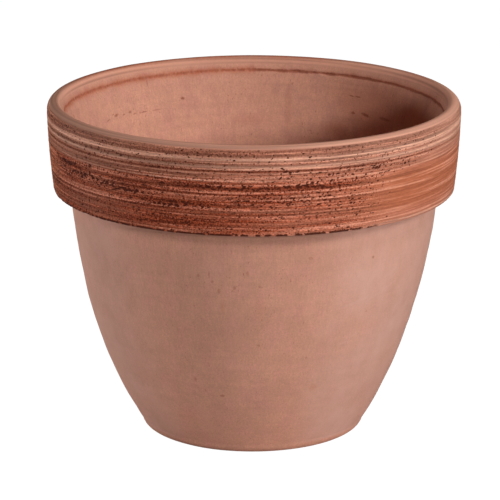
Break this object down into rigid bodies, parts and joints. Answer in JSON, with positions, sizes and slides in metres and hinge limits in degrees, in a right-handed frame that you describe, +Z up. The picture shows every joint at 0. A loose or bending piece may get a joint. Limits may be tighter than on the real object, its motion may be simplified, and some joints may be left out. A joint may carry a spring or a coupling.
{
  "type": "terracotta plant pot",
  "caption": "Round terracotta plant pot with a curved tapering body, a deep turned rim band, a rounded lip and a central drain hole in a ring foot.",
  "frame": {"origin": "centre of the ring foot, on the surface the pot stands on", "axes": "+Z up along the pot's axis of turning, through the mouth; the pot is round, so X and Y are any two level directions"},
  "size_m": [0.3, 0.3, 0.246],
  "materials": {
    "terracotta": "matte"
  },
  "bodies": {
    "root": {"pot": "terracotta"}
  },
  "joints": []
}
